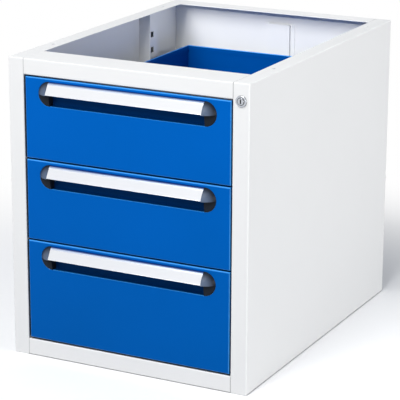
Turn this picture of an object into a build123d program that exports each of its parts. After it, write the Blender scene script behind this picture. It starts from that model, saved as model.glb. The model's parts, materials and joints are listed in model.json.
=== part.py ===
from build123d import *
import os
from math import cos, radians, sin

# Under-bench drawer cabinet: a folded steel housing with an open top, three drawers on telescopic
# slides and a lock that holds them all. Millimetres, +Z up, front facing -Y, X to the right.
# The origin is at the middle of the footprint, handles included, on the floor.

# Housing
WIDTH = 460.0
DEPTH = 620.0
SHEET = 1.25
BEND = 2.0                  # outer radius of the folds
STILE = 30.0                # width of the stiles and of the side flanges
STILE_RETURN = 20.0
STILE_EDGE = 0.8            # rounding of a stile next to the rails
TOP_RAIL = 28.5
TOP_RAIL_DEPTH = 66.0
BOTTOM_RAIL = 30.0
RAIL_RETURN = 20.0
BACK_FLANGE = 38.0
PANEL_PLAY = 0.25           # room round a loose panel
RIB_WIDTH = 47.0
RIB_DEPTH = 6.0
RIB_FOOT = 9.0
RIB_TOP_GAP = 28.0          # from the top of the rib to the top of the housing
FLANGE_HOLE_R = 3.5
FLANGE_HOLE_FRONT = 125.0   # from the front face to the first hole
FLANGE_HOLE_BACK = 85.0     # from the back face to the last hole

# Drawer fronts, from the top down
LOW_FRONT = 144.0
TALL_FRONT = 181.5
FRONT_HEIGHTS = {1: LOW_FRONT, 2: LOW_FRONT, 3: TALL_FRONT}
GAP = 3.0                   # round every front
FRONT_THICK = 20.0
FRONT_EDGE = 2.6            # rounding of a front's outer edges
FRONT_FLANGE_MARGIN = 5.75  # metal of the side flange beyond its screws
FRONT_END_FLANGE = 10.0

# Handles
HANDLE_INSET = 26.5         # from the side of the front to the end of the handle
HANDLE_HEIGHT = 43.0
HANDLE_DROP = 5.5           # from the top of the front to the top of the handle
HANDLE_OUT = 15.0
HANDLE_WALL = 2.0
RECESS_DEPTH = 12.0
RECESS_EDGE = 1.0
RIDGE_RISE = 1.5            # the ridge above the handle's middle
BROW_OUT = 3.0              # where the slope, drawn on, would meet the top of the handle
BROW_R = 7.0                # rounding between the top and the slope
LABEL_THICK = 0.6
LABEL_START = 4.8           # down the slope from its sharp corner
LABEL_LIP = 0.8
HANDLE_FOOT = 12.0          # height of the foot on the back of the recess
CAP_PLAY = 0.15
CAP_BULGE = 3.0             # how far a cap swells over a straight slope
CAP_LOWER_OUT = 2.5         # how far the lower half of a cap stands out
CAP_LOWER_BULGE = 0.8

# Trays
TRAY_SHEET = 1.0
TRAY_HEM = 10.0
TRAY_RISE = 4.0             # from the foot of the front to the foot of the tray
TRAY_HEAD = 53.0            # from the rim of the tray to the top of the front
TRAY_REAR_GAP = 22.0

# Uprights
UPRIGHT_WIDTH = 30.0
UPRIGHT_SHEET = 1.5
UPRIGHT_FRONT = 50.0
UPRIGHT_BACK = 125.0
UPRIGHT_HEAD_GAP = 2.0
SLOT_WIDTH = 11.0
SLOT_HEIGHT = 11.0
SLOT_FROM_BEND = 8.5
SLOT_PITCH = 30.0
SLOT_FIRST = 47.0
SLOT_HEAD_GAP = 25.0

# Slides, measured inwards from the face of the uprights
SLIDE_SETBACK = 4.75        # the fixed member sits this far behind the edge of the opening
SLIDE_THICK = 14.0
SLIDE_START = 34.0
SLIDE_REAR_GAP = 36.0
SLIDE_RISE = 44.0           # wanted height of a slide above the foot of its front
SLIDE_HEIGHT = 46.0
SLIDE_SHEET = 1.2
SLIDE_PLAY = 0.75
FIXED_REACH = 10.0
MIDDLE_REACH = 12.0
DRAWER_MEMBER_REACH = 8.2
OUTER_BALL_R = 2.0
INNER_BALL_R = 1.5
BALL_PLAY = 0.3
BALL_PITCH = 30.0
CAGE_SHEET = 0.8
CAGE_OUTER_START = 2.8
CAGE_INNER_GAP = 0.45
CAGE_HOLE_PLAY = 0.1
CAGE_END = 8.0
TRAVEL_LOSS = 10.0          # the slide's travel is this much shorter than its length
HOOK_REACH = 4.0
HOOK_WIDTH = 4.0
HOOK_HEIGHT = 8.0

# Fasteners
SCREW_R = 1.75
SCREW_HEAD_R = 3.8
SCREW_HEAD = 2.4
SCREW_LENGTH = 4.0
HOLE_PLAY = 0.15
FRONT_SCREW_INSET = 8.0     # from the sides and the foot of the tray's front wall
HANDLE_SCREW_INSET = 49.0   # from the end of the handle's rail
RIVET_FRONT = 56.0          # from the front end of the slide
RIVET_REAR = 164.0          # from the rear end of the slide
RIVET_LENGTH = 2.8
RIVET_HEAD = 1.2

# Lock
LOCK_FROM_TOP = 30.0
ROSETTE_R = 9.75
ROSETTE = 2.5
ROSETTE_EDGE = 1.2
LOCK_BODY_R = 8.0
LOCK_BODY_LENGTH = 20.4
LOCK_HOLE_PLAY = 0.15
NUT_FLATS = 20.0
NUT = 5.0
NUT_PLAY = 0.05
PLUG_R = 5.6
PLUG_PLAY = 0.05
PLUG_PROUD = 1.0
PLUG_GROOVE = 1.1           # width of the groove round the face of the plug
PLUG_GROOVE_DEPTH = 1.8
KEYWAY_WIDTH = 2.2
KEYWAY_HEIGHT = 7.5
KEYWAY_DEPTH = 9.0
TAIL = 7.0
TAIL_PLAY = 0.05
CAM_R = 12.0
CAM = 2.5
CAM_GAP = 0.6
CAM_PIN_R = 2.0
CAM_PIN_LENGTH = 4.2
LOCK_TURN = 90.0
LOCK_TRAVEL = 12.0
PIN_PLAY = 0.6
BAR = 3.0
BAR_EDGE = 3.0              # metal beside the slot of the bar
BAR_WIDTH = 20.0
BAR_GAP = 0.5
BAR_FOOT = 12.0
BAR_HEAD = 8.0
BAR_TAB = 8.0
BAR_TAB_RISE = 20.0         # from the middle of a slide to the tab, unlocked
BAR_TAB_GAP = 2.0
GUIDE_WALL = 2.0
GUIDE_PLAY = 0.3
GUIDE_HEIGHT = 12.0
CATCH_SHEET = 1.5
CATCH_FOOT = 24.0
CATCH_OUT = 7.25
CATCH_GAP = 4.0
CATCH_TAB = 2.0
CATCH_MARGIN = 1.5

# Worked out from the sizes above
HEIGHT = BOTTOM_RAIL + sum(FRONT_HEIGHTS.values()) + (len(FRONT_HEIGHTS) + 1) * GAP + TOP_RAIL
OPENING = WIDTH - 2 * STILE
HALF = WIDTH / 2
INNER_HALF = HALF - SHEET
EDGE = OPENING / 2
FRONT_Y = (HANDLE_OUT - DEPTH) / 2
BACK_Y = FRONT_Y + DEPTH
UPRIGHT_FACE = EDGE + SLIDE_SETBACK
TRAY_HALF = UPRIGHT_FACE - SLIDE_THICK
TRAY_FRONT_Y = FRONT_Y + FRONT_THICK
TRAY_BACK_Y = BACK_Y - TRAY_REAR_GAP
SLIDE_Y = FRONT_Y + SLIDE_START
SLIDE_LENGTH = DEPTH - SLIDE_START - SLIDE_REAR_GAP
MIDDLE_TRAVEL = (SLIDE_LENGTH - TRAVEL_LOSS) / 2
FRONT_HALF = EDGE - GAP
HANDLE_LENGTH = 2 * (FRONT_HALF - HANDLE_INSET)
CAP_R = HANDLE_HEIGHT / 2
CAP_CENTRE = HANDLE_LENGTH / 2 - CAP_R
UPRIGHT_PLACES = (FRONT_Y + UPRIGHT_FRONT, BACK_Y - UPRIGHT_BACK - UPRIGHT_WIDTH)
RIVET_PLACES = (SLIDE_Y + RIVET_FRONT, SLIDE_Y + SLIDE_LENGTH - RIVET_REAR)
FRONT_FLANGE_EDGE = TRAY_HALF - FRONT_SCREW_INSET - FRONT_FLANGE_MARGIN
SELECT = 0.01               # how near a plane an edge counts as in it

# Half heights of the slide's members and ball rows, from the outside in
FIXED_HALF = SLIDE_HEIGHT / 2
OUTER_ROW = FIXED_HALF - SLIDE_SHEET - BALL_PLAY - OUTER_BALL_R
MIDDLE_HALF = OUTER_ROW - OUTER_BALL_R - BALL_PLAY
INNER_ROW = MIDDLE_HALF - SLIDE_SHEET - BALL_PLAY - INNER_BALL_R
DRAWER_MEMBER_HALF = INNER_ROW - INNER_BALL_R - BALL_PLAY
MIDDLE_START = SLIDE_SETBACK + SLIDE_PLAY

# Lock places
LOCK_X = HALF - STILE / 2
LOCK_Z = HEIGHT - LOCK_FROM_TOP
CAM_Y = FRONT_Y + LOCK_BODY_LENGTH + CAM_GAP
BAR_Y = CAM_Y + CAM + BAR_GAP
PIN_ANGLE = radians(LOCK_TURN / 2)
PIN_REACH = LOCK_TRAVEL / 2 / sin(PIN_ANGLE)
PIN_X = LOCK_X - PIN_REACH * cos(PIN_ANGLE)
PIN_Z = LOCK_Z - LOCK_TRAVEL / 2
BAR_SLOT_X0 = LOCK_X - PIN_REACH - CAM_PIN_R - PIN_PLAY
BAR_SLOT_X1 = PIN_X + CAM_PIN_R + PIN_PLAY
BAR_X0 = BAR_SLOT_X0 - BAR_EDGE
BAR_X1 = BAR_X0 + BAR_WIDTH


def front_levels():
    """Foot and head of each drawer front, by drawer number."""
    levels = {}
    head = HEIGHT - TOP_RAIL
    for number, height in FRONT_HEIGHTS.items():
        head -= GAP
        levels[number] = (head - height, head)
        head -= height
    return levels


FRONT_LEVELS = front_levels()


def slide_level(number):
    """Middle of a drawer's slides: the row of slots nearest to where it is wanted."""
    wanted = FRONT_LEVELS[number][0] + SLIDE_RISE
    row = round((wanted - SLOT_FIRST) / SLOT_PITCH)
    return SLOT_FIRST + row * SLOT_PITCH


def tray_levels(number):
    """Foot and rim of a drawer's tray."""
    foot, head = FRONT_LEVELS[number]
    return foot + TRAY_RISE, head - TRAY_HEAD


def handle_level(number):
    """Middle of a drawer's handle."""
    return FRONT_LEVELS[number][1] - HANDLE_DROP - CAP_R


def block(x0, x1, y0, y1, z0, z1, mode=Mode.ADD):
    """A box between two corners, in the part that is open."""
    with Locations(((x0 + x1) / 2, (y0 + y1) / 2, (z0 + z1) / 2)):
        Box(x1 - x0, y1 - y0, z1 - z0, mode=mode)


def rod(x, y0, y1, z, radius, mode=Mode.ADD):
    """A round bar along Y, in the part that is open."""
    with Locations(Plane((x, (y0 + y1) / 2, z), x_dir=(1, 0, 0), z_dir=(0, 1, 0))):
        Cylinder(radius, y1 - y0, mode=mode)


def cross_rod(x0, x1, y, z, radius, mode=Mode.ADD):
    """A round bar along X, in the part that is open."""
    with Locations(Plane(((x0 + x1) / 2, y, z), x_dir=(0, 1, 0), z_dir=(1, 0, 0))):
        Cylinder(radius, x1 - x0, mode=mode)


def mirrored(piece):
    """The piece for the other side of the cabinet."""
    with BuildPart() as twin:
        mirror(piece.part, about=Plane.YZ)
    return twin


def save(piece, name):
    """Label a finished piece and write it to its own file."""
    piece.part.label = name
    export_step(piece.part, f"parts/{name}.step")


def edges_at(part, axis, value):
    """The part's edges that lie in one plane across an axis."""
    return part.edges().filter_by_position(axis, value - SELECT, value + SELECT)


# Housing

def side_panel():
    """Left side: a folded pan with its stile, flanges and rear return."""
    with BuildPart() as panel:
        block(-HALF, -EDGE, FRONT_Y, BACK_Y, 0, HEIGHT)
        outer = edges_at(panel, Axis.X, -HALF)
        top_front = edges_at(panel, Axis.Y, FRONT_Y).group_by(Axis.Z)[-1]
        fillet(outer + top_front, BEND)
        inner_front = edges_at(panel, Axis.Y, FRONT_Y).group_by(Axis.X)[-1]
        fillet(inner_front, STILE_EDGE)
        block(-INNER_HALF, -EDGE - SHEET, FRONT_Y + SHEET, BACK_Y - SHEET, SHEET, HEIGHT - SHEET,
              Mode.SUBTRACT)
        block(-EDGE - 2 * SHEET, -EDGE + SHEET, FRONT_Y + STILE_RETURN, BACK_Y - SHEET, SHEET,
              HEIGHT - SHEET, Mode.SUBTRACT)
        for hole in (FRONT_Y + FLANGE_HOLE_FRONT, BACK_Y - FLANGE_HOLE_BACK):
            with Locations((-HALF + STILE / 2, hole, HEIGHT)):
                Hole(FLANGE_HOLE_R, depth=2 * SHEET)
    return panel


def lock_side_panel(plain):
    """Right side: the mirrored pan with the hole for the lock."""
    with BuildPart() as panel:
        mirror(plain.part, about=Plane.YZ)
        rod(LOCK_X, FRONT_Y - SHEET, FRONT_Y + 2 * SHEET, LOCK_Z, LOCK_BODY_R + LOCK_HOLE_PLAY,
            Mode.SUBTRACT)
    return panel


def top_rail():
    """Front rail of the open top: face, deep top flange and lower return."""
    foot = HEIGHT - TOP_RAIL
    with BuildPart() as rail:
        block(-EDGE, EDGE, FRONT_Y, FRONT_Y + TOP_RAIL_DEPTH, foot, HEIGHT)
        fillet(edges_at(rail, Axis.Y, FRONT_Y).filter_by(Axis.X), BEND)
        block(-EDGE, EDGE, FRONT_Y + SHEET, FRONT_Y + TOP_RAIL_DEPTH, foot + SHEET, HEIGHT - SHEET,
              Mode.SUBTRACT)
        block(-EDGE, EDGE, FRONT_Y + RAIL_RETURN, FRONT_Y + TOP_RAIL_DEPTH, foot, HEIGHT - SHEET,
              Mode.SUBTRACT)
    return rail


def bottom_rail():
    """Front rail at the floor: a channel open to the back."""
    with BuildPart() as rail:
        block(-EDGE, EDGE, FRONT_Y, FRONT_Y + RAIL_RETURN, 0, BOTTOM_RAIL)
        fillet(edges_at(rail, Axis.Y, FRONT_Y).filter_by(Axis.X), BEND)
        block(-EDGE, EDGE, FRONT_Y + SHEET, FRONT_Y + RAIL_RETURN, SHEET, BOTTOM_RAIL - SHEET,
              Mode.SUBTRACT)
    return rail


def back_panel():
    """Back sheet inside the rear returns, with a flange at the open top."""
    half = INNER_HALF - PANEL_PLAY
    with BuildPart() as panel:
        block(-half, half, BACK_Y - 2 * SHEET, BACK_Y - SHEET, SHEET, HEIGHT - SHEET)
        block(-EDGE, EDGE, BACK_Y - BACK_FLANGE, BACK_Y - SHEET, HEIGHT - SHEET, HEIGHT)
    return panel


def back_stiffener():
    """Shallow hat section down the middle of the back panel."""
    y = BACK_Y - 2 * SHEET
    foot = 2 * SHEET
    head = HEIGHT - RIB_TOP_GAP
    half = RIB_WIDTH / 2
    with BuildPart() as rib:
        block(-half, half, y - RIB_DEPTH, y, foot, head)
        block(-half - RIB_FOOT, half + RIB_FOOT, y - SHEET, y, foot, head)
        block(-half + SHEET, half - SHEET, y - RIB_DEPTH + SHEET, y, foot, head, Mode.SUBTRACT)
    return rib


def floor_panel():
    """Bottom sheet, resting on the bottom flanges of the sides."""
    half = INNER_HALF - PANEL_PLAY
    with BuildPart() as panel:
        block(-half, half, FRONT_Y + STILE_RETURN + PANEL_PLAY, BACK_Y - 2 * SHEET - PANEL_PLAY,
              SHEET, 2 * SHEET)
    return panel


def upright(place):
    """Left slotted channel on the side wall, starting at a depth."""
    foot = 2 * SHEET
    head = HEIGHT - SHEET - UPRIGHT_HEAD_GAP
    rows = int((head - SLOT_HEAD_GAP - SLOT_FIRST) / SLOT_PITCH) + 1
    middle_row = SLOT_FIRST + (rows - 1) * SLOT_PITCH / 2
    with BuildPart() as channel:
        block(-INNER_HALF, -UPRIGHT_FACE, place, place + UPRIGHT_WIDTH, foot, head)
        block(-INNER_HALF, -UPRIGHT_FACE - UPRIGHT_SHEET, place + UPRIGHT_SHEET,
              place + UPRIGHT_WIDTH - UPRIGHT_SHEET, foot, head, Mode.SUBTRACT)
        with BuildSketch(Plane.YZ.offset(-UPRIGHT_FACE)):
            with Locations((place + SLOT_FROM_BEND, middle_row)):
                with GridLocations(SLOT_PITCH, SLOT_PITCH, 1, rows):
                    Rectangle(SLOT_WIDTH, SLOT_HEIGHT)
        extrude(amount=2 * UPRIGHT_SHEET, both=True, mode=Mode.SUBTRACT)
    return channel


# Slides, drawn for the left side: x grows inwards from the face of the uprights

def channel_member(start, reach, half, level, web_inside):
    """Channel of a slide between two depths from the upright, open to one side."""
    x0 = -UPRIGHT_FACE + start
    x1 = -UPRIGHT_FACE + reach
    hollow = half - SLIDE_SHEET
    inner0, inner1 = (x0, x1 - SLIDE_SHEET) if web_inside else (x0 + SLIDE_SHEET, x1)
    block(x0, x1, SLIDE_Y, SLIDE_Y + SLIDE_LENGTH, level - half, level + half)
    block(inner0, inner1, SLIDE_Y, SLIDE_Y + SLIDE_LENGTH, level - hollow, level + hollow,
          Mode.SUBTRACT)


def fixed_member(level):
    """Member that hangs by hooks in the slots of the uprights."""
    with BuildPart() as member:
        channel_member(0, FIXED_REACH, FIXED_HALF, level, web_inside=False)
        for place in UPRIGHT_PLACES:
            hook_y = place + SLOT_FROM_BEND
            block(-UPRIGHT_FACE - HOOK_REACH, -UPRIGHT_FACE, hook_y - HOOK_WIDTH / 2,
                  hook_y + HOOK_WIDTH / 2, level - HOOK_HEIGHT / 2, level + HOOK_HEIGHT / 2)
    return member


def middle_member(level):
    """Member that runs between the fixed member and the drawer's own."""
    with BuildPart() as member:
        channel_member(MIDDLE_START, MIDDLE_REACH, MIDDLE_HALF, level, web_inside=False)
    return member


def drawer_member(level):
    """Member that is riveted to the side of the tray."""
    with BuildPart() as member:
        channel_member(DRAWER_MEMBER_REACH, SLIDE_THICK, DRAWER_MEMBER_HALF, level, web_inside=True)
        for place in RIVET_PLACES:
            cross_rod(-TRAY_HALF - 2 * SLIDE_SHEET, -TRAY_HALF + SLIDE_SHEET, place, level,
                      SCREW_R + HOLE_PLAY, Mode.SUBTRACT)
    return member


def ball_cage(start, end, row, ball_r, ball_x, y0, y1, level):
    """Folded cage with a row of balls above and a row below, in the part that is open."""
    x0 = -UPRIGHT_FACE + start
    x1 = -UPRIGHT_FACE + end
    half = row + CAGE_SHEET / 2
    block(x0, x1, y0, y1, level - half, level + half)
    block(x0 + CAGE_SHEET, x1, y0, y1, level - half + CAGE_SHEET, level + half - CAGE_SHEET,
          Mode.SUBTRACT)
    count = int((y1 - y0 - 2 * CAGE_END) / BALL_PITCH) + 1
    places = []
    for side in (-1, 1):
        for index in range(count):
            places.append((-UPRIGHT_FACE + ball_x, y0 + CAGE_END + index * BALL_PITCH, level + side * row))
    with Locations(*places):
        Sphere(ball_r + CAGE_HOLE_PLAY, mode=Mode.SUBTRACT)
    with Locations(*places):
        Sphere(ball_r)


def ball_cages(level):
    """Caged balls of a drawer's two slides. The outer rows stay in the rear half of the middle
    member and the inner rows in its front half, so that both stay covered at full travel."""
    y0 = SLIDE_Y + CAGE_END
    y1 = SLIDE_Y + SLIDE_LENGTH - MIDDLE_TRAVEL - CAGE_END
    inner_start = MIDDLE_START + SLIDE_SHEET + CAGE_INNER_GAP
    with BuildPart() as cages:
        ball_cage(CAGE_OUTER_START, FIXED_REACH, OUTER_ROW, OUTER_BALL_R,
                  FIXED_REACH - OUTER_BALL_R, y0 + MIDDLE_TRAVEL, y1 + MIDDLE_TRAVEL, level)
        ball_cage(inner_start, MIDDLE_REACH, INNER_ROW, INNER_BALL_R,
                  MIDDLE_REACH - INNER_BALL_R, y0, y1, level)
        mirror(about=Plane.YZ)
    return cages


# Drawers

def front_screw_places(number):
    """Where the screws go through the tray's front wall, and how thick it is there: the upper
    ones sit in the hem."""
    foot, rim = tray_levels(number)
    x = TRAY_HALF - FRONT_SCREW_INSET
    rows = ((foot + FRONT_SCREW_INSET, TRAY_SHEET), (rim - TRAY_HEM / 2, 2 * TRAY_SHEET))
    return [(side * x, z, wall) for side in (-1, 1) for z, wall in rows]


def handle_screw_places(number):
    """Where the screws go through the back of the recess."""
    z = handle_level(number) + CAP_R - HANDLE_FOOT + SCREW_HEAD_R
    return [(side * (CAP_CENTRE - HANDLE_SCREW_INSET), z) for side in (-1, 1)]


def drawer_front(number):
    """Folded front with rounded edges and a long recess behind the handle."""
    foot, head = FRONT_LEVELS[number]
    half = FRONT_HALF
    back = FRONT_Y + FRONT_THICK
    handle_plane = Plane((0, FRONT_Y, handle_level(number)), x_dir=(1, 0, 0), z_dir=(0, 1, 0))
    with BuildPart() as hollow:
        block(-half + SHEET, half - SHEET, FRONT_Y + SHEET, back - SHEET, foot + SHEET, head - SHEET)
        fillet(edges_at(hollow, Axis.Y, FRONT_Y + SHEET), FRONT_EDGE - SHEET)
    with BuildPart() as front:
        block(-half, half, FRONT_Y, back, foot, head)
        fillet(edges_at(front, Axis.Y, FRONT_Y), FRONT_EDGE)
        add(hollow.part, mode=Mode.SUBTRACT)
        block(-FRONT_FLANGE_EDGE, FRONT_FLANGE_EDGE, back - 2 * SHEET, back + SHEET,
              foot + FRONT_END_FLANGE, head - FRONT_END_FLANGE, Mode.SUBTRACT)
        with BuildSketch(handle_plane.offset(SHEET / 2)):
            SlotOverall(HANDLE_LENGTH + 2 * SHEET, HANDLE_HEIGHT + 2 * SHEET)
        extrude(amount=RECESS_DEPTH + SHEET / 2)
        with BuildSketch(handle_plane):
            SlotOverall(HANDLE_LENGTH, HANDLE_HEIGHT)
        extrude(amount=RECESS_DEPTH, mode=Mode.SUBTRACT)
        rim = edges_at(front, Axis.Y, FRONT_Y).filter_by_position(
            Axis.Z, handle_level(number) - CAP_R - RECESS_EDGE, handle_level(number) + CAP_R + RECESS_EDGE)
        rim = rim.filter_by_position(Axis.X, -HANDLE_LENGTH / 2 - RECESS_EDGE,
                                     HANDLE_LENGTH / 2 + RECESS_EDGE)
        fillet(rim, RECESS_EDGE)
        for x, z, _ in front_screw_places(number):
            rod(x, back - 2 * SHEET, back + SHEET, z, SCREW_R + HOLE_PLAY, Mode.SUBTRACT)
        for x, z in handle_screw_places(number):
            rod(x, FRONT_Y + RECESS_DEPTH - SHEET, FRONT_Y + RECESS_DEPTH + 2 * SHEET, z,
                SCREW_R + HOLE_PLAY, Mode.SUBTRACT)
    return front


def tray(number):
    """Sheet tray with a hemmed rim, hung between the drawer members of the slides."""
    foot, rim = tray_levels(number)
    level = slide_level(number)
    with BuildPart() as box:
        block(-TRAY_HALF, TRAY_HALF, TRAY_FRONT_Y, TRAY_BACK_Y, foot, rim)
        fillet(edges_at(box, Axis.Z, rim), TRAY_SHEET / 2)
        wall = TRAY_SHEET
        block(-TRAY_HALF + wall, TRAY_HALF - wall, TRAY_FRONT_Y + wall, TRAY_BACK_Y - wall,
              foot + wall, rim - TRAY_HEM, Mode.SUBTRACT)
        hem = 2 * TRAY_SHEET
        block(-TRAY_HALF + hem, TRAY_HALF - hem, TRAY_FRONT_Y + hem, TRAY_BACK_Y - hem,
              rim - TRAY_HEM, rim, Mode.SUBTRACT)
        for x, z, _ in front_screw_places(number):
            rod(x, TRAY_FRONT_Y - wall, TRAY_FRONT_Y + 2 * hem, z, SCREW_R + HOLE_PLAY, Mode.SUBTRACT)
        for place in RIVET_PLACES:
            for side in (-1, 1):
                cross_rod(side * TRAY_HALF - hem, side * TRAY_HALF + hem, place, level,
                          SCREW_R + HOLE_PLAY, Mode.SUBTRACT)
    return box


def hood_slope():
    """Length of the hood's slope from its sharp corner to the ridge, and unit vectors down the
    slope and square to it, into the pocket."""
    out = HANDLE_OUT - BROW_OUT
    rise = CAP_R - RIDGE_RISE
    length = (out ** 2 + rise ** 2) ** 0.5
    down = (-out / length, -rise / length)
    inward = (-down[1], down[0])
    return length, down, inward


def on_hood(along, depth):
    """Point on the hood's section, as distance out and height above the handle's middle: a way
    down the slope and a depth below its surface."""
    _, down, inward = hood_slope()
    return (-BROW_OUT + along * down[0] + depth * inward[0], CAP_R + along * down[1] + depth * inward[1])


def section(points, number, roundings=()):
    """Closed outline in the cross-section of a drawer's handle, with some of its corners rounded."""
    level = handle_level(number)
    with BuildSketch(Plane.YZ) as outline:
        with BuildLine():
            Polyline(*[(FRONT_Y + y, level + z) for y, z in points], close=True)
        make_face()
        for (y, z), radius in roundings:
            fillet(outline.vertices().sort_by_distance((FRONT_Y + y, level + z))[0], radius)
    return outline.sketch


def handle_rail(number):
    """Hood of the handle: a foot on the back of the recess, a leg along its top and, round the
    brow, the slope that carries the label between two lips."""
    length, down, inward = hood_slope()
    corner = on_hood(0, 0)
    inner_corner = on_hood(-HANDLE_WALL * (1 + inward[1]) / down[1], HANDLE_WALL)
    outline = [
        (RECESS_DEPTH, CAP_R), corner, on_hood(LABEL_START, 0), on_hood(LABEL_START, LABEL_THICK),
        on_hood(length - LABEL_LIP, LABEL_THICK), on_hood(length - LABEL_LIP, 0), on_hood(length, 0),
        on_hood(length, HANDLE_WALL), inner_corner, (RECESS_DEPTH - HANDLE_WALL, CAP_R - HANDLE_WALL),
        (RECESS_DEPTH - HANDLE_WALL, CAP_R - HANDLE_FOOT), (RECESS_DEPTH, CAP_R - HANDLE_FOOT),
    ]
    roundings = ((corner, BROW_R), (inner_corner, BROW_R - HANDLE_WALL))
    with BuildPart() as rail:
        extrude(section(outline, number, roundings), amount=CAP_CENTRE, both=True)
        for x, z in handle_screw_places(number):
            rod(x, FRONT_Y + RECESS_DEPTH - 2 * HANDLE_WALL, FRONT_Y + RECESS_DEPTH + HANDLE_WALL, z,
                SCREW_R + HOLE_PLAY, Mode.SUBTRACT)
    return rail


def label_strip(number):
    """Plain strip that fills the channel of the hood."""
    length, _, _ = hood_slope()
    outline = [on_hood(LABEL_START, 0), on_hood(length - LABEL_LIP, 0),
               on_hood(length - LABEL_LIP, LABEL_THICK), on_hood(LABEL_START, LABEL_THICK)]
    with BuildPart() as strip:
        extrude(section(outline, number), amount=CAP_CENTRE, both=True)
    return strip


def cap_quarter(out, bulge, side, number):
    """Upper or lower quarter of the right-hand end cap."""
    level = handle_level(number)
    rim = (FRONT_Y, level + side * (CAP_R - CAP_PLAY))
    swell = (FRONT_Y - out / 2 - bulge, level + side * CAP_R / 2)
    tip = (FRONT_Y - out, level)
    back = FRONT_Y + RECESS_DEPTH
    with BuildSketch(Plane.YZ.offset(CAP_CENTRE)) as outline:
        with BuildLine():
            ThreePointArc(rim, swell, tip)
            Polyline(tip, (back, level), (back, rim[1]), rim)
        make_face()
    axis = Axis((CAP_CENTRE, FRONT_Y, level), (0, 1, 0))
    with BuildPart() as quarter:
        revolve(outline.sketch, axis=axis, revolution_arc=side * 90)
    return quarter


def end_caps(number):
    """Rounded ends of the handle, with a step where the lower half stands back."""
    upper = cap_quarter(HANDLE_OUT, CAP_BULGE, 1, number)
    lower = cap_quarter(CAP_LOWER_OUT, CAP_LOWER_BULGE, -1, number)
    with BuildPart() as caps:
        add(upper.part)
        add(lower.part)
        mirror(about=Plane.YZ)
    return caps


def drawer_fasteners(number):
    """Screws of the front and the handle, and rivets of the slides."""
    level = slide_level(number)
    recess_back = FRONT_Y + RECESS_DEPTH + SHEET
    with BuildPart() as fasteners:
        for x, z, wall in front_screw_places(number):
            seat = TRAY_FRONT_Y + wall
            rod(x, TRAY_FRONT_Y - SCREW_LENGTH, seat, z, SCREW_R)
            rod(x, seat, seat + SCREW_HEAD, z, SCREW_HEAD_R)
        for x, z in handle_screw_places(number):
            rod(x, FRONT_Y + RECESS_DEPTH - HANDLE_WALL, recess_back, z, SCREW_R)
            rod(x, recess_back, recess_back + SCREW_HEAD, z, SCREW_HEAD_R)
        for place in RIVET_PLACES:
            for side in (-1, 1):
                seat = side * (TRAY_HALF - TRAY_SHEET)
                tail = side * (TRAY_HALF + RIVET_LENGTH)
                face = seat - side * RIVET_HEAD
                cross_rod(min(seat, tail), max(seat, tail), place, level, SCREW_R)
                cross_rod(min(seat, face), max(seat, face), place, level, SCREW_HEAD_R)
    return fasteners


def lock_catch(number):
    """Angle on the right side of the tray, which the locking bar stops."""
    low = slide_level(number) + BAR_TAB_RISE + LOCK_TRAVEL
    y = BAR_Y + BAR + CATCH_GAP
    with BuildPart() as catch:
        block(TRAY_HALF, TRAY_HALF + CATCH_SHEET, y, y + CATCH_FOOT, low - CATCH_MARGIN,
              low + BAR_TAB + CATCH_MARGIN)
        block(TRAY_HALF, TRAY_HALF + CATCH_OUT, y, y + CATCH_TAB, low, low + BAR_TAB)
    return catch


# Lock

def lock_housing():
    """Round lock body with its rosette on the stile and a groove round the plug."""
    with BuildPart() as housing:
        rod(LOCK_X, FRONT_Y - ROSETTE, FRONT_Y, LOCK_Z, ROSETTE_R)
        fillet(edges_at(housing, Axis.Y, FRONT_Y - ROSETTE), ROSETTE_EDGE)
        rod(LOCK_X, FRONT_Y, FRONT_Y + LOCK_BODY_LENGTH, LOCK_Z, LOCK_BODY_R)
        rod(LOCK_X, FRONT_Y - 2 * ROSETTE, FRONT_Y + LOCK_BODY_LENGTH + ROSETTE, LOCK_Z,
            PLUG_R + PLUG_PLAY, Mode.SUBTRACT)
        rod(LOCK_X, FRONT_Y - 2 * ROSETTE, FRONT_Y - ROSETTE + PLUG_GROOVE_DEPTH, LOCK_Z,
            PLUG_R + PLUG_GROOVE, Mode.SUBTRACT)
    return housing


def lock_nut():
    """Hexagon nut that holds the lock body in the stile."""
    plane = Plane((LOCK_X, FRONT_Y + SHEET, LOCK_Z), x_dir=(1, 0, 0), z_dir=(0, 1, 0))
    with BuildPart() as nut:
        with BuildSketch(plane):
            RegularPolygon(NUT_FLATS / 2, 6, major_radius=False)
            Circle(LOCK_BODY_R + NUT_PLAY, mode=Mode.SUBTRACT)
        extrude(amount=NUT)
    return nut


def lock_plug():
    """Turning core with an upright keyway and a square tail."""
    front = FRONT_Y - ROSETTE - PLUG_PROUD
    with BuildPart() as plug:
        rod(LOCK_X, front, FRONT_Y + LOCK_BODY_LENGTH, LOCK_Z, PLUG_R)
        fillet(edges_at(plug, Axis.Y, front), PLUG_PROUD / 2)
        block(LOCK_X - TAIL / 2, LOCK_X + TAIL / 2, FRONT_Y + LOCK_BODY_LENGTH, CAM_Y + CAM,
              LOCK_Z - TAIL / 2, LOCK_Z + TAIL / 2)
        block(LOCK_X - KEYWAY_WIDTH / 2, LOCK_X + KEYWAY_WIDTH / 2, front, front + KEYWAY_DEPTH,
              LOCK_Z - KEYWAY_HEIGHT / 2, LOCK_Z + KEYWAY_HEIGHT / 2, Mode.SUBTRACT)
    return plug


def lock_cam():
    """Disc on the plug's tail with the pin that lifts the bar."""
    hole = TAIL + 2 * TAIL_PLAY
    with BuildPart() as cam:
        rod(LOCK_X, CAM_Y, CAM_Y + CAM, LOCK_Z, CAM_R)
        rod(PIN_X, CAM_Y, CAM_Y + CAM + CAM_PIN_LENGTH, PIN_Z, CAM_PIN_R)
        block(LOCK_X - hole / 2, LOCK_X + hole / 2, CAM_Y - CAM, CAM_Y + 2 * CAM, LOCK_Z - hole / 2,
              LOCK_Z + hole / 2, Mode.SUBTRACT)
    return cam


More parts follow.
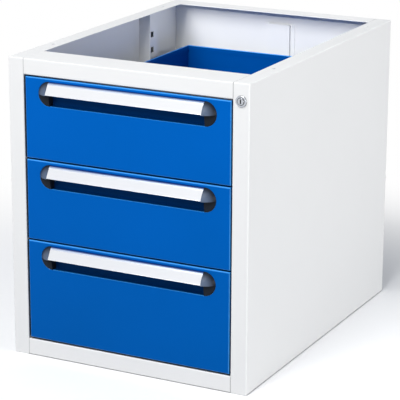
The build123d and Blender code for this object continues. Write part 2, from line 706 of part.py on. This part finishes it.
def lock_bar():
    """Flat bar behind the right stile with a slot for the pin."""
    foot = slide_level(max(FRONT_LEVELS)) + BAR_TAB_RISE - BAR_FOOT
    slot_half = CAM_PIN_R + PIN_PLAY
    with BuildPart() as bar:
        block(BAR_X0, BAR_X1, BAR_Y, BAR_Y + BAR, foot, PIN_Z + slot_half + BAR_HEAD)
        block(BAR_SLOT_X0, BAR_SLOT_X1, BAR_Y - BAR, BAR_Y + 2 * BAR, PIN_Z - slot_half, PIN_Z + slot_half,
              Mode.SUBTRACT)
    return bar


def lock_bar_tabs():
    """Tabs on the edge of the bar, one for each drawer's catch."""
    with BuildPart() as tabs:
        for number in FRONT_LEVELS:
            low = slide_level(number) + BAR_TAB_RISE
            block(TRAY_HALF + CATCH_SHEET + BAR_TAB_GAP, BAR_X0, BAR_Y, BAR_Y + BAR, low, low + BAR_TAB)
    return tabs


def lock_bar_guides():
    """Blocks on the right side wall that the bar slides through, one between each two drawers."""
    numbers = sorted(FRONT_LEVELS)
    with BuildPart() as guides:
        for number in numbers[1:]:
            level = FRONT_LEVELS[number][1]
            block(BAR_X0 - GUIDE_WALL, INNER_HALF, BAR_Y - GUIDE_WALL, BAR_Y + BAR + GUIDE_WALL,
                  level - GUIDE_HEIGHT / 2, level + GUIDE_HEIGHT / 2)
            block(BAR_X0 - GUIDE_PLAY, BAR_X1 + GUIDE_PLAY, BAR_Y - GUIDE_PLAY, BAR_Y + BAR + GUIDE_PLAY,
                  level - GUIDE_HEIGHT, level + GUIDE_HEIGHT, Mode.SUBTRACT)
    return guides


# Write every piece

os.makedirs("parts", exist_ok=True)

left_panel = side_panel()
save(left_panel, "left_side_panel")
save(lock_side_panel(left_panel), "right_side_panel")
save(top_rail(), "top_rail")
save(bottom_rail(), "bottom_rail")
save(back_panel(), "back_panel")
save(back_stiffener(), "back_stiffener")
save(floor_panel(), "floor_panel")

for end, place in zip(("front", "rear"), UPRIGHT_PLACES):
    channel = upright(place)
    save(channel, f"{end}_upright_left")
    save(mirrored(channel), f"{end}_upright_right")

for number in FRONT_HEIGHTS:
    level = slide_level(number)
    members = {"fixed": fixed_member(level), "middle": middle_member(level), "drawer": drawer_member(level)}
    for kind, member in members.items():
        save(member, f"slide_{kind}_member_{number}_left")
        save(mirrored(member), f"slide_{kind}_member_{number}_right")
    save(ball_cages(level), f"slide_ball_cages_{number}")
    save(drawer_front(number), f"drawer_front_{number}")
    save(tray(number), f"drawer_tray_{number}")
    save(handle_rail(number), f"handle_rail_{number}")
    save(label_strip(number), f"label_strip_{number}")
    save(end_caps(number), f"handle_end_caps_{number}")
    save(lock_catch(number), f"lock_catch_{number}")
    save(drawer_fasteners(number), f"drawer_fasteners_{number}")

save(lock_housing(), "lock_housing")
save(lock_nut(), "lock_nut")
save(lock_plug(), "lock_plug")
save(lock_cam(), "lock_cam")
save(lock_bar(), "lock_bar")
save(lock_bar_tabs(), "lock_bar_tabs")
save(lock_bar_guides(), "lock_bar_guides")
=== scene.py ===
import json
import math

import bpy
from mathutils import Matrix, Vector

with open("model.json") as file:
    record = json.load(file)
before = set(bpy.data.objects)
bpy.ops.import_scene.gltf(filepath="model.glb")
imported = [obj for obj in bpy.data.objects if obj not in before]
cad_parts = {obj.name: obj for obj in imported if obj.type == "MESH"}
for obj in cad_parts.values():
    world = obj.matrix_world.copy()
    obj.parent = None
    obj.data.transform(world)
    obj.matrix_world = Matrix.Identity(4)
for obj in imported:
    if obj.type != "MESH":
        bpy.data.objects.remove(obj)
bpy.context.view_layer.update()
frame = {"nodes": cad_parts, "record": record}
scene = bpy.context.scene

# Camera, in metres and radians, at the photograph's viewing angle. The lens and sensor are in millimetres.
CAMERA_PLACE = Vector((1.5073, -2.9955, 1.2162))
CAMERA_YAW = 0.4696
CAMERA_PITCH = 0.2844
CAMERA_ROLL = -0.0047
CAMERA_LENS = 170.3
CAMERA_SENSOR = 36.0

# Colours, linear
WHITE = (1.0, 1.0, 1.0, 1.0)
WHITE_PAINT = (0.83, 0.83, 0.82, 1.0)
BLUE_PAINT = (0.0, 0.115, 0.50, 1.0)
# blue low down on the part, darker as painted shade
BLUE_SHADED_LOW = (0.0, 0.093, 0.38, 1.0)
BLUE_SHEEN = (0.0, 0.30, 0.85, 1.0)
# light blue painted on the edges of the fronts and the rims of the trays as a highlight
BLUE_EDGE_HIGHLIGHT = (0.07, 0.42, 0.95, 1.0)
ZINC = (0.60, 0.62, 0.64, 1.0)
ALUMINIUM = (0.62, 0.65, 0.70, 1.0)
# dark blue painted on the handle's brow as a reflection of the front and shade at its root
BROW_PAINTED_REFLECTION = (0.0, 0.10, 0.34, 1.0)
LABEL = (0.665, 0.67, 0.68, 1.0)
DARK_PLASTIC = (0.115, 0.152, 0.225, 1.0)
GUIDE_PLASTIC = (0.03, 0.03, 0.033, 1.0)
CHROME = (0.56, 0.585, 0.63, 1.0)
FLOOR_SEEN = WHITE
FLOOR_BOUNCE = (0.42, 0.42, 0.43, 1.0)
ROOM_LIGHT = (0.83, 0.89, 1.0, 1.0)

# Share of its colour that a finish keeps where its noise is strongest
WHITE_DRIFT = 0.965
ZINC_DRIFT = 0.82
ALUMINIUM_DRIFT = 0.9
LABEL_DRIFT = 0.98
PLASTIC_DRIFT = 0.85
CHROME_DRIFT = 0.92

# Noise: scale per metre and detail, and for some the roughness and the stretch along X, Y and Z
COLOUR_NOISE = (6.0, 3.0)
PEEL_NOISE = (260.0, 3.0)
GRAIN_NOISE = (900.0, 2.0)
ZINC_MARKS = (220.0, 4.0, 0.6, (1.0, 0.03, 1.0))
ZINC_PATCHES = (45.0, 3.0)
BRUSH_NOISE = (700.0, 3.0, 0.6, (0.01, 1.0, 1.0))
LABEL_WAVES = (40.0, 2.0, 0.5, (0.4, 1.0, 1.0))
PLASTIC_SKIN = (1600.0, 2.0)
PLASTIC_CLOUDS = (60.0, 2.0)
CHROME_SPOTS = (300.0, 3.0)
NOISE_MIDDLE = (0.3, 0.7)       # the range that most of its values lie in

# Bumps: strength, and depth in metres
PEEL_BUMP = (0.10, 0.0004)
GRAIN_BUMP = (0.06, 0.0001)
ZINC_BUMP = (0.15, 0.0002)
BRUSH_BUMP = (0.12, 0.0001)
LABEL_BUMP = (0.05, 0.0003)
CAP_BUMP = (0.05, 0.0001)
GUIDE_BUMP = (0.15, 0.0001)

# Roughness of each finish where it is smoothest and where it is roughest
WHITE_ROUGHNESS = (0.38, 0.47)
BLUE_ROUGHNESS = (0.32, 0.41)
ZINC_ROUGHNESS = (0.26, 0.42)
ALUMINIUM_ROUGHNESS = (0.24, 0.36)
LABEL_ROUGHNESS = (0.28, 0.36)
CAP_ROUGHNESS = (0.27, 0.34)
GUIDE_ROUGHNESS = (0.42, 0.49)
CHROME_ROUGHNESS = (0.08, 0.16)

# The plane of the drawer fronts, in metres, and levels by the distance behind it
FRONT_PLANE = -0.3025
# painted shade on the front: lower in the recess under the handle, and further back
FRONT_DEPTH_SHADE = ((0.0, 1.0), (0.0022, 1.0), (0.0060, 0.34), (0.0130, 0.34), (0.0165, 0.80), (0.030, 0.80))
# painted highlight on the rounded edges of a front
FRONT_EDGE_HIGHLIGHT = ((0.0, 0.0), (0.00015, 0.0), (0.0006, 0.75), (0.0024, 0.75), (0.0032, 0.0), (0.030, 0.0))
# painted reflection and shade on the handle's brow, strongest next to the front
BROW_REFLECTION_DEPTH = ((-0.0075, 0.0), (-0.0050, 0.25), (-0.0030, 0.60), (-0.0010, 0.95), (0.012, 0.95))
# painted shade on the handle caps, darker towards the front
CAP_DEPTH_SHADE = ((-0.015, 1.0), (-0.011, 0.85), (-0.007, 0.5), (-0.003, 0.15), (0.0, 0.10), (0.012, 0.10))
# painted shade in the lock's groove, keyway and around the rosette's foot
LOCK_DEPTH_SHADE = ((-0.0035, 1.0), (-0.0018, 1.0), (-0.0010, 0.10), (0.020, 0.10))
PLUG_DEPTH_SHADE = ((-0.0035, 1.0), (-0.0034, 1.0), (-0.0030, 0.45), (-0.0026, 0.04), (0.020, 0.04))
PLAIN_DEPTH = ((0.0, 1.0), (0.6, 1.0))

# Painted shade at the seams between stiles and rails, in metres: how far from the middle, how far from its
# line a seam is darkest and gone, how far behind the front plane it starts to fade and is gone, and its
# darkest level
STILE_SEAM = 0.200
SEAM_WIDTH = (0.0003, 0.0011)
SEAM_DEPTH = (0.001, 0.003)
SEAM_LEVEL = 0.66

# Shade in hollows: reach in metres, darkest level, and the shares of open sky where it is darkest and gone
PANEL_HOLLOWS = (0.010, 0.05, 0.25, 0.47)
UPRIGHT_HOLLOWS = (0.03, 0.03, 0.12, 0.45)
HOLLOW_SAMPLES = 8

# Painted shade: the blue coat is darker towards the bottom.
# Blue coat: heights in metres between which it grows stronger, its shares there, and how far they wander
BLUE_SHADE_HEIGHTS = (0.05, 0.48)
BLUE_SHADE_SHARES = (0.1, 0.9)
BLUE_WANDER = 0.1

# Trays, in metres: heights of their rims and floors and how near counts. The last is the level of the
# blue on their walls, lower there as painted shade; the rims carry a painted highlight.
TRAY_RIMS = (0.4555, 0.3085, 0.1615)
TRAY_RIM_HIGHLIGHT_REACH = 0.0013
TRAY_FLOORS = (0.3695, 0.2225, 0.0380)
TRAY_FLOOR = 0.0020
TRAY_WALL_SHADE = 0.58

# Stage: half the floor's side, its drop below the part and where it fades to white, in metres, and the
# strength of the room's light
FLOOR_REACH = 12.0
FLOOR_DROP = 0.0004
FLOOR_FADE = (0.40, 1.1)
ROOM_STRENGTH = 0.33

# Soft square lamps: name, place, target, size in metres and power in watts
AREA_LAMPS = (
    ("key", (-0.2, -3.4, 3.4), (0.0, 0.0, 0.35), 2.4, 190.0),
    ("side", (3.0, -0.3, 0.65), (0.0, 0.0, 0.3), 1.4, 50.0),
    ("top", (0.0, 0.0, 2.4), (0.0, 0.0, 0.3), 1.8, 3.0),
)

# Narrow lamp on the back wall inside: name, place, target, angle in degrees and power in watts
SPOT_LAMP = ("inside", (0.0, -2.6, 1.6), (0.0, 0.31, 0.56), 8.6, 118.0)
SPOT_RADIUS = 0.03
SPOT_BLEND = 0.5

# Places of the Mix node's colour sockets
MIX_SHARE, MIX_FIRST, MIX_SECOND, MIX_RESULT = 0, 6, 7, 2


# Node helpers

def new_material(name):
    """An empty node material and its tree."""
    material = bpy.data.materials.new(name)
    material.use_nodes = True
    tree = material.node_tree
    tree.nodes.clear()
    return material, tree


def add_node(tree, kind, inputs=None, **settings):
    """A node with its settings, its constant inputs and its linked inputs."""
    node = tree.nodes.new(kind)
    for key, value in settings.items():
        setattr(node, key, value)
    for key, value in (inputs or {}).items():
        if isinstance(value, bpy.types.NodeSocket):
            tree.links.new(value, node.inputs[key])
        else:
            node.inputs[key].default_value = value
    return node


def calc(tree, operation, *values, **settings):
    """The result of one sum on numbers or sockets."""
    node = add_node(tree, "ShaderNodeMath", dict(enumerate(values)), operation=operation, **settings)
    return node.outputs["Value"]


def map_range(tree, value, start, end, low=0.0, high=1.0, **settings):
    """A value mapped from one range to another."""
    node = add_node(tree, "ShaderNodeMapRange", {
        "Value": value, "From Min": start, "From Max": end, "To Min": low, "To Max": high}, **settings)
    return node.outputs["Result"]


def axes_of(tree):
    """X, Y and Z of a point in the part's own metres."""
    place = add_node(tree, "ShaderNodeTexCoord")
    return add_node(tree, "ShaderNodeSeparateXYZ", {"Vector": place.outputs["Object"]}).outputs


def noise(tree, scale, detail, roughness=0.5, stretch=(1.0, 1.0, 1.0)):
    """Noise in the part's own metres, stretched along an axis where asked."""
    place = add_node(tree, "ShaderNodeTexCoord")
    mapping = add_node(tree, "ShaderNodeMapping", {"Vector": place.outputs["Object"], "Scale": stretch})
    node = add_node(tree, "ShaderNodeTexNoise", {
        "Vector": mapping.outputs["Vector"], "Scale": scale, "Detail": detail, "Roughness": roughness})
    return node.outputs["Fac"]


def spread(tree, value, low, high):
    """A noise value mapped to a range."""
    return map_range(tree, value, *NOISE_MIDDLE, low, high)


def bump(tree, height, strength, depth, **inputs):
    """A normal that follows a height."""
    node = add_node(tree, "ShaderNodeBump", {
        "Height": height, "Strength": strength, "Distance": depth, **inputs})
    return node.outputs["Normal"]


def mixed_colour(tree, share, first, second):
    """A colour between two, each a value or a socket, by a share."""
    node = add_node(tree, "ShaderNodeMix", {MIX_SHARE: share, MIX_FIRST: first, MIX_SECOND: second},
                    data_type="RGBA")
    return node.outputs[MIX_RESULT]


def varied(tree, share, colour, drift):
    """A colour that falls to a part of itself as a share grows."""
    low = tuple(c * drift for c in colour[:3]) + (1.0,)
    return mixed_colour(tree, share, colour, low)


def shaded(tree, colour, shade):
    """A colour times a grey."""
    node = add_node(tree, "ShaderNodeVectorMath", {0: colour, 1: shade}, operation="MULTIPLY")
    return node.outputs["Vector"]


def add_output(tree, shader):
    """Join a shader to the material's output."""
    add_node(tree, "ShaderNodeOutputMaterial", {"Surface": shader.outputs[0]})


def surface(material, inputs):
    """The material, finished with one Principled shader."""
    tree = material.node_tree
    add_output(tree, add_node(tree, "ShaderNodeBsdfPrincipled", inputs))
    return material


# Greys and shares by place

def depth_shade(tree, stops):
    """A grey by the distance behind the plane of the fronts, from stops of distance and level."""
    start, end = stops[0][0], stops[-1][0]
    share = map_range(tree, axes_of(tree)["Y"], FRONT_PLANE + start, FRONT_PLANE + end)
    ramp = add_node(tree, "ShaderNodeValToRGB", {"Fac": share})
    elements = ramp.color_ramp.elements
    while len(elements) < len(stops):
        elements.new(1.0)
    for element, (distance, level) in zip(elements, stops):
        element.position = (distance - start) / (end - start)
        element.color = (level, level, level, 1.0)
    return ramp.outputs["Color"]


def hollow_shade(tree, reach, dark, closed, free):
    """A painted shade: a grey that falls off in seams and narrow hollows, between two shares of open sky.
    """
    sky = add_node(tree, "ShaderNodeAmbientOcclusion", {"Distance": reach}, samples=HOLLOW_SAMPLES)
    return map_range(tree, sky.outputs["AO"], closed, free, dark, 1.0)


def seam_shade(tree):
    """A painted shade: a grey that dims the two seams between the stiles and the rails on the front."""
    axes = axes_of(tree)
    away = calc(tree, "SUBTRACT", calc(tree, "ABSOLUTE", axes["X"]), STILE_SEAM)
    line = map_range(tree, calc(tree, "ABSOLUTE", away), *SEAM_WIDTH, SEAM_LEVEL, 1.0)
    start, end = SEAM_DEPTH
    behind = map_range(tree, axes["Y"], FRONT_PLANE + start, FRONT_PLANE + end)
    return calc(tree, "MAXIMUM", line, behind)


def height_shade_and_drift(tree):
    """A share that grows with the height, so the blue is darker towards the bottom as painted shade, and
    wanders a little.
    """
    rise = map_range(tree, axes_of(tree)["Z"], *BLUE_SHADE_HEIGHTS, *BLUE_SHADE_SHARES)
    wander = spread(tree, noise(tree, *COLOUR_NOISE), -BLUE_WANDER, BLUE_WANDER)
    return calc(tree, "ADD", rise, wander, use_clamp=True)


def near_heights(tree, heights, reach):
    """One within a reach of any of the heights."""
    level = axes_of(tree)["Z"]
    share = 0.0
    for height in heights:
        share = calc(tree, "MAXIMUM", calc(tree, "COMPARE", level, height, reach), share)
    return share


def front_shade(tree):
    """Level of the blue on a drawer front, painted shade that is lower in its recess."""
    return depth_shade(tree, FRONT_DEPTH_SHADE)


def front_edge_highlight(tree):
    """A share that is high on the rounded edges of a drawer front, where a highlight is painted."""
    return depth_shade(tree, FRONT_EDGE_HIGHLIGHT)


def tray_shade(tree):
    """Level of the blue on a tray, full on its floor and lower on its walls as painted shade."""
    return map_range(tree, near_heights(tree, TRAY_FLOORS, TRAY_FLOOR), 0.0, 1.0, TRAY_WALL_SHADE, 1.0)


def tray_rim_highlight(tree):
    """One along the upper rim of each tray, where a highlight is painted."""
    return near_heights(tree, TRAY_RIMS, TRAY_RIM_HIGHLIGHT_REACH)


# Materials

def powder_skin(tree):
    """Orange peel of a baked powder coat: its noise and its normal."""
    skin = noise(tree, *PEEL_NOISE)
    peel = bump(tree, skin, *PEEL_BUMP)
    return skin, bump(tree, noise(tree, *GRAIN_NOISE), *GRAIN_BUMP, Normal=peel)


def white_coat(name, hollows):
    """White powder coat with an uneven gloss, a faint drift of the colour, and painted shade in hollows
    and seams.
    """
    material, tree = new_material(name)
    skin, normal = powder_skin(tree)
    paint = varied(tree, noise(tree, *COLOUR_NOISE), WHITE_PAINT, WHITE_DRIFT)
    shade = calc(tree, "MULTIPLY", hollow_shade(tree, *hollows), seam_shade(tree))
    return surface(material, {
        "Base Color": shaded(tree, paint, shade),
        "Roughness": spread(tree, skin, *WHITE_ROUGHNESS),
        "Normal": normal})


def blue_coat(name, shade_of, edge_highlight_of):
    """Blue powder coat with an uneven gloss and a faint drift of the colour, darker towards the bottom and
    where the shade says, both painted shade, and with a painted highlight and a clear gloss on the edges."""
    material, tree = new_material(name)
    skin, normal = powder_skin(tree)
    paint = mixed_colour(tree, height_shade_and_drift(tree), BLUE_SHADED_LOW, BLUE_PAINT)
    edge_highlight = edge_highlight_of(tree)
    return surface(material, {
        "Base Color": mixed_colour(tree, edge_highlight, shaded(tree, paint, shade_of(tree)), BLUE_EDGE_HIGHLIGHT),
        "Specular Tint": BLUE_SHEEN,
        "Specular IOR Level": 0.20,
        "Roughness": spread(tree, skin, *BLUE_ROUGHNESS),
        "Coat Weight": edge_highlight,
        "Coat Roughness": 0.12,
        "Normal": normal})


def zinc_plate(name):
    """Bright zinc plate with long rolling marks and soft patches."""
    material, tree = new_material(name)
    marks = noise(tree, *ZINC_MARKS)
    return surface(material, {
        "Base Color": varied(tree, noise(tree, *ZINC_PATCHES), ZINC, ZINC_DRIFT),
        "Metallic": 1.0,
        "Roughness": spread(tree, marks, *ZINC_ROUGHNESS),
        "Normal": bump(tree, marks, *ZINC_BUMP)})


def satin_aluminium(name):
    """Anodised extrusion, brushed along its length, with a painted blue reflection of the drawer front and
    painted shade towards it.
    """
    material, tree = new_material(name)
    brush = noise(tree, *BRUSH_NOISE)
    plain = varied(tree, brush, ALUMINIUM, ALUMINIUM_DRIFT)
    return surface(material, {
        "Base Color": mixed_colour(tree, depth_shade(tree, BROW_REFLECTION_DEPTH), plain, BROW_PAINTED_REFLECTION),
        "Metallic": 1.0,
        "Roughness": spread(tree, brush, *ALUMINIUM_ROUGHNESS),
        "Normal": bump(tree, brush, *BRUSH_BUMP)})


def label_film(name):
    """Plain white strip with a smooth face and a trace of waviness."""
    material, tree = new_material(name)
    wave = noise(tree, *LABEL_WAVES)
    return surface(material, {
        "Base Color": varied(tree, wave, LABEL, LABEL_DRIFT),
        "Roughness": spread(tree, wave, *LABEL_ROUGHNESS),
        "Normal": bump(tree, wave, *LABEL_BUMP)})


def moulded_plastic(name, colour, roughness, skin_bump, stops):
    """Injection-moulded plastic with a fine eroded skin, and painted shade by the stops, darker further
    in.
    """
    material, tree = new_material(name)
    cloud = noise(tree, *PLASTIC_CLOUDS)
    plain = varied(tree, cloud, colour, PLASTIC_DRIFT)
    return surface(material, {
        "Base Color": shaded(tree, plain, depth_shade(tree, stops)),
        "Specular IOR Level": 0.09,
        "Roughness": spread(tree, cloud, *roughness),
        "Normal": bump(tree, noise(tree, *PLASTIC_SKIN), *skin_bump)})


def polished_chrome(name, stops):
    """Chrome plate with a few dull spots, and painted shade that is dark in the groove and the keyway."""
    material, tree = new_material(name)
    spots = noise(tree, *CHROME_SPOTS)
    plate = varied(tree, spots, CHROME, CHROME_DRIFT)
    return surface(material, {
        "Base Color": shaded(tree, plate, depth_shade(tree, stops)),
        "Metallic": 0.8,
        "Roughness": spread(tree, spots, *CHROME_ROUGHNESS)})


MATERIALS = {
    "white_paint": white_coat("white_powder_coat", PANEL_HOLLOWS),
    "blue_paint": blue_coat("blue_powder_coat", front_shade, front_edge_highlight),
    "zinc_steel": zinc_plate("zinc_plate"),
    "handle_aluminium": satin_aluminium("satin_aluminium"),
    "label_film": label_film("label_film"),
    "dark_plastic": moulded_plastic("dark_plastic", DARK_PLASTIC, CAP_ROUGHNESS, CAP_BUMP, CAP_DEPTH_SHADE),
    "chrome": polished_chrome("polished_chrome", LOCK_DEPTH_SHADE),
    "guide_plastic": moulded_plastic("guide_plastic", GUIDE_PLASTIC, GUIDE_ROUGHNESS, GUIDE_BUMP,
                                     PLAIN_DEPTH),
}

SLOT_OF = {part["node"]: part["material_slot"] for part in frame["record"]["subparts"]}
UPRIGHT_COAT = white_coat("upright_powder_coat", UPRIGHT_HOLLOWS)
TRAY_COAT = blue_coat("tray_powder_coat", tray_shade, tray_rim_highlight)
PLUG_COAT = polished_chrome("plug_chrome", PLUG_DEPTH_SHADE)
for node, piece in frame["nodes"].items():
    coat = MATERIALS[SLOT_OF[node]]
    if "upright" in node:
        coat = UPRIGHT_COAT
    if "tray" in node:
        coat = TRAY_COAT
    if node == "lock_plug":
        coat = PLUG_COAT
    piece.data.materials.clear()
    piece.data.materials.append(coat)


# Stage: floor, light and camera

def seen_ray(tree):
    """One for rays from the eye, and for those that metal or glass sends on from it."""
    rays = add_node(tree, "ShaderNodeLightPath").outputs
    mirrored = calc(tree, "MAXIMUM", rays["Is Camera Ray"], rays["Is Glossy Ray"])
    return calc(tree, "MAXIMUM", mirrored, rays["Is Transmission Ray"])


def mixed_shader(tree, share, first, second):
    """A shader between two, by a share."""
    return add_node(tree, "ShaderNodeMixShader", {0: share, 1: first.outputs[0], 2: second.outputs[0]})


def floor_material():
    """Pale floor that takes the part's shadow near it and fades to plain white further out."""
    material, tree = new_material("stage_floor")
    place = add_node(tree, "ShaderNodeTexCoord")
    distance = add_node(tree, "ShaderNodeVectorMath", {0: place.outputs["Object"]}, operation="LENGTH")
    fade = map_range(tree, distance.outputs["Value"], *FLOOR_FADE, interpolation_type="SMOOTHSTEP")
    bounce = add_node(tree, "ShaderNodeBsdfDiffuse", {"Color": FLOOR_BOUNCE})
    near = add_node(tree, "ShaderNodeBsdfDiffuse", {"Color": FLOOR_SEEN})
    far = add_node(tree, "ShaderNodeEmission", {"Color": WHITE, "Strength": 1.0})
    seen = mixed_shader(tree, fade, near, far)
    add_output(tree, mixed_shader(tree, seen_ray(tree), bounce, seen))
    return material


def make_floor():
    """Square floor just under the part."""
    mesh = bpy.data.meshes.new("stage_floor")
    corners = [(x * FLOOR_REACH, y * FLOOR_REACH, 0) for x, y in ((-1, -1), (1, -1), (1, 1), (-1, 1))]
    mesh.from_pydata(corners, [], [(0, 1, 2, 3)])
    floor = bpy.data.objects.new("stage_floor", mesh)
    scene.collection.objects.link(floor)
    floor.location.z = -FLOOR_DROP
    mesh.materials.append(floor_material())


def place_lamp(data, place, target):
    """Put a lamp at a place, facing a target."""
    lamp = bpy.data.objects.new(data.name, data)
    lamp.location = place
    lamp.rotation_euler = (Vector(target) - Vector(place)).to_track_quat("-Z", "Y").to_euler()
    scene.collection.objects.link(lamp)


def area_light(name, place, target, size, power):
    """Soft square lamp."""
    data = bpy.data.lights.new(name, "AREA")
    data.shape = "SQUARE"
    data.size = size
    data.energy = power
    place_lamp(data, place, target)


def spot_light(name, place, target, angle, power):
    """Narrow lamp whose beam has a soft rim."""
    data = bpy.data.lights.new(name, "SPOT")
    data.energy = power
    data.spot_size = math.radians(angle)
    data.spot_blend = SPOT_BLEND
    data.shadow_soft_size = SPOT_RADIUS
    place_lamp(data, place, target)


def make_world():
    """White to the eye, and a soft, slightly cool grey as the light in the room."""
    world = bpy.data.worlds.new("studio")
    scene.world = world
    world.use_nodes = True
    tree = world.node_tree
    tree.nodes.clear()
    room = add_node(tree, "ShaderNodeBackground", {"Color": ROOM_LIGHT, "Strength": ROOM_STRENGTH})
    white = add_node(tree, "ShaderNodeBackground", {"Color": WHITE, "Strength": 1.0})
    mix = mixed_shader(tree, seen_ray(tree), room, white)
    add_node(tree, "ShaderNodeOutputWorld", {"Surface": mix.outputs[0]})


def make_camera():
    """Camera from its yaw, pitch and roll."""
    right = Vector((math.cos(CAMERA_YAW), math.sin(CAMERA_YAW), 0.0))
    forward = Vector((-math.sin(CAMERA_YAW) * math.cos(CAMERA_PITCH),
                      math.cos(CAMERA_YAW) * math.cos(CAMERA_PITCH), -math.sin(CAMERA_PITCH)))
    down = forward.cross(right)
    rolled = right * math.cos(CAMERA_ROLL) + down * math.sin(CAMERA_ROLL)
    up = right * math.sin(CAMERA_ROLL) - down * math.cos(CAMERA_ROLL)
    data = bpy.data.cameras.new("camera")
    data.sensor_width = CAMERA_SENSOR
    data.lens = CAMERA_LENS
    camera = bpy.data.objects.new("camera", data)
    turn = Matrix((rolled, up, -forward)).transposed().to_4x4()
    camera.matrix_world = Matrix.Translation(CAMERA_PLACE) @ turn
    scene.collection.objects.link(camera)
    scene.camera = camera


make_floor()
make_world()
for lamp in AREA_LAMPS:
    area_light(*lamp)
spot_light(*SPOT_LAMP)
make_camera()
scene.view_settings.view_transform = "Standard"
